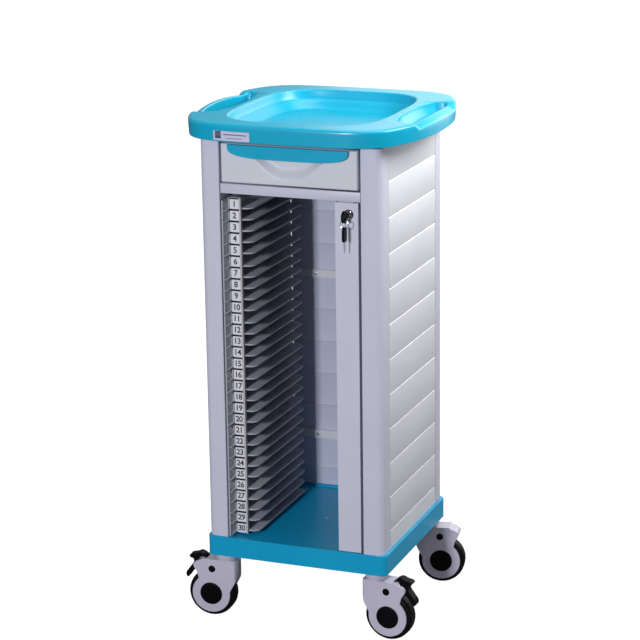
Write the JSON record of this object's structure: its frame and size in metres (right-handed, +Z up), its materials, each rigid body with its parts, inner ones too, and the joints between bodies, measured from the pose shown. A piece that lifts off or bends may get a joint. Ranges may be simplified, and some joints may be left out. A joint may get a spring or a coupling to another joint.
{
  "type": "patient chart trolley",
  "caption": "Tall hospital trolley on swivel casters: open bay of numbered chart ledges behind a keyed strip door, a drawer with a lip handle, and a moulded top tray with grip slots.",
  "frame": {"origin": "on the floor under the middle of the body, with the casters resting on it", "axes": "+Z up, -Y towards the front where the charts go in, +X to the right seen from the front"},
  "size_m": [0.5459, 0.516, 1.132],
  "materials": {
    "tray": "smooth cyan moulding",
    "panel": "satin",
    "post": "satin",
    "drawer": "satin",
    "rack": "satin",
    "strip": "satin",
    "card": "printed card",
    "steel": "zinc plated",
    "fork": "moulded nylon",
    "black": "satin",
    "tyre": "solid tread"
  },
  "bodies": {
    "cabinet": {"base_tray": "tray", "post_front_left": "post", "post_front_right": "post", "post_rear_left": "post", "post_rear_right": "post", "side_panel_left": "panel", "side_panel_right": "panel", "back_panel": "panel", "back_brace_upper": "panel", "back_brace_lower": "panel", "cross_rail": "post", "top_tray": "tray", "rack_left_1": "rack", "rack_left_2": "rack", "rack_left_3": "rack", "rack_left_4": "rack", "rack_left_5": "rack", "rack_left_6": "rack", "rack_right_1": "rack", "rack_right_2": "rack", "rack_right_3": "rack", "rack_right_4": "rack", "rack_right_5": "rack", "rack_right_6": "rack", "label_holder": "strip", "number_card": "card", "drawer_guide_left": "steel", "drawer_guide_right": "steel", "caster_stem_front_left": "fork", "caster_stem_front_right": "fork", "caster_stem_rear_left": "fork", "caster_stem_rear_right": "fork"},
    "drawer": {"drawer_box": "drawer", "drawer_front": "drawer", "drawer_handle": "tray"},
    "lock_door": {"lock_door": "post", "door_pin_top": "steel", "door_pin_bottom": "steel", "lock_barrel": "black"},
    "lock_plug": {"lock_plug": "steel", "lock_cam": "steel", "door_key": "black"},
    "key_ring": {"key_ring": "steel", "spare_key": "black"},
    "caster_front_left": {"caster_fork_front_left": "fork", "caster_axle_front_left": "black"},
    "wheel_front_left": {"wheel_front_left": "tyre"},
    "pedal_front_left": {"brake_pedal_front_left": "black"},
    "caster_front_right": {"caster_fork_front_right": "fork", "caster_axle_front_right": "black"},
    "wheel_front_right": {"wheel_front_right": "tyre"},
    "pedal_front_right": {"brake_pedal_front_right": "black"},
    "caster_rear_left": {"caster_fork_rear_left": "fork", "caster_axle_rear_left": "black"},
    "wheel_rear_left": {"wheel_rear_left": "tyre"},
    "caster_rear_right": {"caster_fork_rear_right": "fork", "caster_axle_rear_right": "black"},
    "wheel_rear_right": {"wheel_rear_right": "tyre"}
  },
  "joints": [
    {"name": "drawer_slide", "type": "slide", "parent": "cabinet", "child": "drawer", "axis": [0, -1, 0], "range_m": [0, 0.25]},
    {"name": "door_hinge", "type": "hinge", "parent": "cabinet", "child": "lock_door", "pos_m": [0.1498, -0.1983, 0.585], "axis": [0, 0, 1], "range_deg": [0, 90]},
    {"name": "lock_turn", "type": "hinge", "parent": "lock_door", "child": "lock_plug", "pos_m": [0.132, -0.2, 0.947], "axis": [0, 1, 0], "range_deg": [0, 90]},
    {"name": "ring_hang", "type": "hinge", "parent": "lock_plug", "child": "key_ring", "pos_m": [0.132, -0.228, 0.9357], "axis": [0, 1, 0], "range_deg": [-90, 0]},
    {"name": "swivel_front_left", "type": "hinge", "parent": "cabinet", "child": "caster_front_left", "pos_m": [-0.177, -0.171, 0.14], "axis": [0, 0, 1], "continuous": true},
    {"name": "roll_front_left", "type": "hinge", "parent": "caster_front_left", "child": "wheel_front_left", "pos_m": [-0.20992, -0.1733, 0.054], "axis": [0.0698, -0.9976, 0], "continuous": true},
    {"name": "brake_front_left", "type": "hinge", "parent": "caster_front_left", "child": "pedal_front_left", "pos_m": [-0.23486, -0.17505, 0.121], "axis": [0.0698, -0.9976, 0], "range_deg": [0, 10]},
    {"name": "swivel_front_right", "type": "hinge", "parent": "cabinet", "child": "caster_front_right", "pos_m": [0.177, -0.171, 0.14], "axis": [0, 0, 1], "continuous": true},
    {"name": "roll_front_right", "type": "hinge", "parent": "caster_front_right", "child": "wheel_front_right", "pos_m": [0.20995, -0.17273, 0.054], "axis": [0.0523, 0.9986, 0], "continuous": true},
    {"name": "brake_front_right", "type": "hinge", "parent": "caster_front_right", "child": "pedal_front_right", "pos_m": [0.23492, -0.17404, 0.121], "axis": [0.0523, 0.9986, 0], "range_deg": [0, 10]},
    {"name": "swivel_rear_left", "type": "hinge", "parent": "cabinet", "child": "caster_rear_left", "pos_m": [-0.178, 0.178, 0.14], "axis": [0, 0, 1], "continuous": true},
    {"name": "roll_rear_left", "type": "hinge", "parent": "caster_rear_left", "child": "wheel_rear_left", "pos_m": [-0.211, 0.178, 0.054], "axis": [0, -1, 0], "continuous": true},
    {"name": "swivel_rear_right", "type": "hinge", "parent": "cabinet", "child": "caster_rear_right", "pos_m": [0.178, 0.178, 0.14], "axis": [0, 0, 1], "continuous": true},
    {"name": "roll_rear_right", "type": "hinge", "parent": "caster_rear_right", "child": "wheel_rear_right", "pos_m": [0.2105, 0.18373, 0.054], "axis": [-0.1736, 0.9848, 0], "continuous": true}
  ],
  "couplings": [
    {"joint": "ring_hang", "follows": "lock_turn", "ratio": -1}
  ]
}
